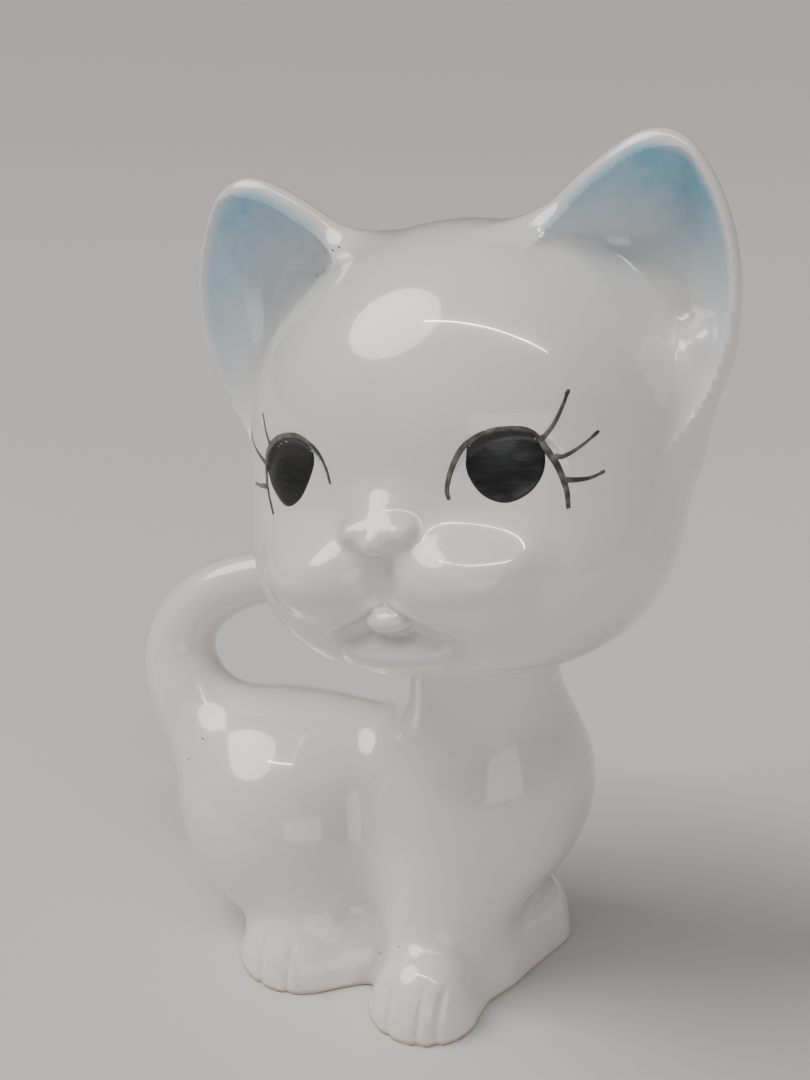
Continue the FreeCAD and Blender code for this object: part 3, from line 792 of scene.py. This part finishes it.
# ------------------------------------------------------------------ materials
class Recipe:
    """A node material built step by step in figurine coordinates, metres."""

    def __init__(self, name):
        self.material = bpy.data.materials.new(name)
        self.material.use_nodes = True
        self.tree = self.material.node_tree
        self.shader = self.tree.nodes["Principled BSDF"]
        self.place = self.tree.nodes.new("ShaderNodeTexCoord").outputs["Object"]

    def put(self, socket, value):
        """Links an output, or sets a plain value."""
        if isinstance(value, bpy.types.NodeSocket):
            self.tree.links.new(value, socket)
        elif isinstance(value, tuple) and len(value) == 3 and socket.type == "RGBA":
            socket.default_value = value + (1.0,)
        else:
            socket.default_value = value

    def set(self, **values):
        """Sets the shader's inputs by name, with _ for the spaces."""
        for name, value in values.items():
            self.put(self.shader.inputs[name.replace("_", " ")], value)

    def stretched(self, scale):
        node = self.tree.nodes.new("ShaderNodeMapping")
        node.inputs["Scale"].default_value = scale
        self.put(node.inputs["Vector"], self.place)
        return node.outputs["Vector"]

    def noise(self, scale, detail=3.0, place=None):
        node = self.tree.nodes.new("ShaderNodeTexNoise")
        node.inputs["Scale"].default_value = scale
        node.inputs["Detail"].default_value = detail
        self.put(node.inputs["Vector"], place or self.place)
        return node.outputs["Fac"]

    def attribute(self, name):
        node = self.tree.nodes.new("ShaderNodeAttribute")
        node.attribute_name = name
        return node.outputs["Fac"]

    def height(self):
        """Metres above the standing plane."""
        node = self.tree.nodes.new("ShaderNodeSeparateXYZ")
        self.put(node.inputs[0], self.place)
        return node.outputs["Z"]

    def math(self, operation, a, b):
        node = self.tree.nodes.new("ShaderNodeMath")
        node.operation = operation
        self.put(node.inputs[0], a)
        self.put(node.inputs[1], b)
        return node.outputs[0]

    def ramp(self, value, low, high, start=0.0, end=1.0):
        """Smoothly from start at low to end at high."""
        node = self.tree.nodes.new("ShaderNodeMapRange")
        node.interpolation_type = "SMOOTHSTEP"
        for socket, amount in zip(list(node.inputs)[:5], (value, low, high, start, end)):
            self.put(socket, amount)
        return node.outputs[0]

    def mix(self, share, a, b):
        node = self.tree.nodes.new("ShaderNodeMix")
        node.data_type = "RGBA"
        self.put(node.inputs[0], share)
        self.put(node.inputs[6], a)
        self.put(node.inputs[7], b)
        return node.outputs[2]

    def specks(self, scale, radius, rarity):
        """Round specks, one in a few cells of a random pattern."""
        node = self.tree.nodes.new("ShaderNodeTexVoronoi")
        node.inputs["Scale"].default_value = scale
        self.put(node.inputs["Vector"], self.place)
        split = self.tree.nodes.new("ShaderNodeSeparateColor")
        self.put(split.inputs[0], node.outputs["Color"])
        chosen = self.ramp(split.outputs[0], rarity, rarity + 0.01)
        size = self.ramp(split.outputs[1], 0.0, 1.0, 0.4 * radius, radius)
        near = self.math("LESS_THAN", node.outputs["Distance"], size)
        return self.math("MULTIPLY", near, chosen)

    def bump(self, height, distance, strength):
        node = self.tree.nodes.new("ShaderNodeBump")
        node.inputs["Strength"].default_value = strength
        node.inputs["Distance"].default_value = distance
        self.put(node.inputs["Height"], height)
        self.put(self.shader.inputs["Normal"], node.outputs["Normal"])


def floor_material():
    recipe = Recipe("pale_floor")
    recipe.set(Base_Color=FLOOR_PALE, Roughness=0.75)
    return recipe.material


def glaze_material(name, tinted):
    """Clear glaze over white clay, with pinholes, painted shade and pooled glaze in the folds,
    and bare clay soles.
    """
    recipe = Recipe(name)
    cloud = recipe.noise(28.0, 2.0)
    colour = recipe.mix(recipe.ramp(cloud, 0.35, 0.65), GLAZE_COOL, GLAZE_WARM)
    if tinted:
        mottle = recipe.ramp(recipe.noise(420.0, 4.0), 0.25, 0.75, 0.78, 1.0)
        drift = recipe.ramp(recipe.noise(70.0, 3.0), 0.2, 0.8, 0.75, 1.1)
        spray = recipe.math("MULTIPLY", recipe.attribute("spray"), drift)
        spray = recipe.math("MULTIPLY", spray, mottle)
        colour = recipe.mix(spray, colour, SPRAY_BLUE)
    # Painted shade in the folds, mixed with the thicker glaze that pools there.
    fold_shade = recipe.ramp(recipe.attribute("fold_shade"), 0.15, 0.9, 0.0, 0.55)
    colour = recipe.mix(fold_shade, colour, GLAZE_POOLED_SHADE)
    pinholes = recipe.specks(115.0, 0.030, 0.90)
    colour = recipe.mix(pinholes, colour, SPECK_BROWN)
    wander = recipe.math("MULTIPLY", recipe.noise(240.0, 3.0), SOLE_WANDER)
    level = recipe.math("SUBTRACT", recipe.height(), wander)
    glazed = recipe.ramp(level, *SOLE_EDGE)
    colour = recipe.mix(glazed, BARE_CLAY, colour)
    wear = recipe.ramp(recipe.noise(320.0, 3.0), 0.3, 0.7, 0.16, 0.24)
    bare = recipe.ramp(level, *SOLE_EDGE, 0.75, 0.0)
    recipe.set(Base_Color=colour, Roughness=recipe.math("ADD", wear, bare),
               Coat_Weight=glazed, Coat_Roughness=0.02, Coat_IOR=1.5)
    recipe.bump(recipe.noise(130.0, 2.0), 0.0004, 0.12)
    return recipe.material


def black_enamel():
    """Black enamel with grey brush drag and a painted brown reflection along its upper edge."""
    recipe = Recipe("black_enamel")
    drag = recipe.noise(1.0, 5.0, recipe.stretched((260.0, 260.0, 1500.0)))
    patch = recipe.ramp(recipe.noise(230.0, 3.0), 0.46, 0.64)
    streaks = recipe.math("MULTIPLY", recipe.ramp(drag, 0.50, 0.68), patch)
    colour = recipe.mix(streaks, ENAMEL_BLACK, ENAMEL_GREY)
    thin = recipe.attribute("thin")
    # The brown along the top of the iris is a painted reflection.
    colour = recipe.mix(recipe.ramp(thin, 0.85, 1.0, 0.0, 0.8), colour, ENAMEL_BROWN_REFLECTION)
    rough = recipe.ramp(drag, 0.3, 0.7, 0.22, 0.42)
    recipe.set(Base_Color=colour, Roughness=rough, Coat_Weight=0.25, Coat_Roughness=0.1)
    recipe.bump(drag, 0.0001, 0.35)
    return recipe.material


def stroke_enamel():
    """Thin grey brown enamel, darker where the brush left more."""
    recipe = Recipe("grey_brown_enamel")
    drag = recipe.noise(620.0, 4.0)
    colour = recipe.mix(recipe.ramp(drag, 0.38, 0.68), STROKE_DARK, STROKE_PALE)
    rough = recipe.ramp(drag, 0.3, 0.7, 0.30, 0.45)
    recipe.set(Base_Color=colour, Roughness=rough, Coat_Weight=0.4, Coat_Roughness=0.06)
    recipe.bump(drag, 0.0001, 0.3)
    return recipe.material


# ------------------------------------------------------------------ assembly
def adopt(piece, node, material):
    """Gives a piece its material and its body, and hides the CAD node it stands for."""
    piece.data.materials.append(material)
    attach(piece, "root")
    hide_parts(node)


def lid_strokes(word):
    """Lid line and lashes of one eye: points and brush widths of each stroke."""
    line = smooth_path(LID_LINE[word], 8)
    share = np.linspace(0.0, 1.0, len(line))
    strokes = [(line, LID_WIDTH * (0.55 + 0.45 * np.sin(math.pi * share)))]
    root, thin, drop = LASH_WIDTHS
    for lash in LASHES[word]:
        path = smooth_path(lash, 8)
        share = np.linspace(0.0, 1.0, len(path))
        bead = np.exp(-((share - 0.93) / 0.05) ** 2)
        strokes.append((path, root + (thin - root) * share + (drop - thin) * bead))
    return strokes


def main():
    glaze = glaze_material("white_glaze", False)
    tinted = glaze_material("blue_tinted_glaze", True)
    black = black_enamel()
    brown = stroke_enamel()
    for name, piece in clay_pieces().items():
        if name.endswith("ear"):
            adopt(piece, name, tinted)
        else:
            adopt(piece, name, glaze)
    for word, side in (("left", 1.0), ("right", -1.0)):
        iris = iris_layer(word + "_iris_look", IRIS[word], side)
        adopt(iris, word + "_iris", black)
        for count, (points, widths) in enumerate(lid_strokes(word)):
            piece = stroke_layer("%s_lid_stroke_%d" % (word, count), points, widths)
            adopt(piece, word + "_eyelid_line", brown)
    add_studio()
    add_camera()


main()
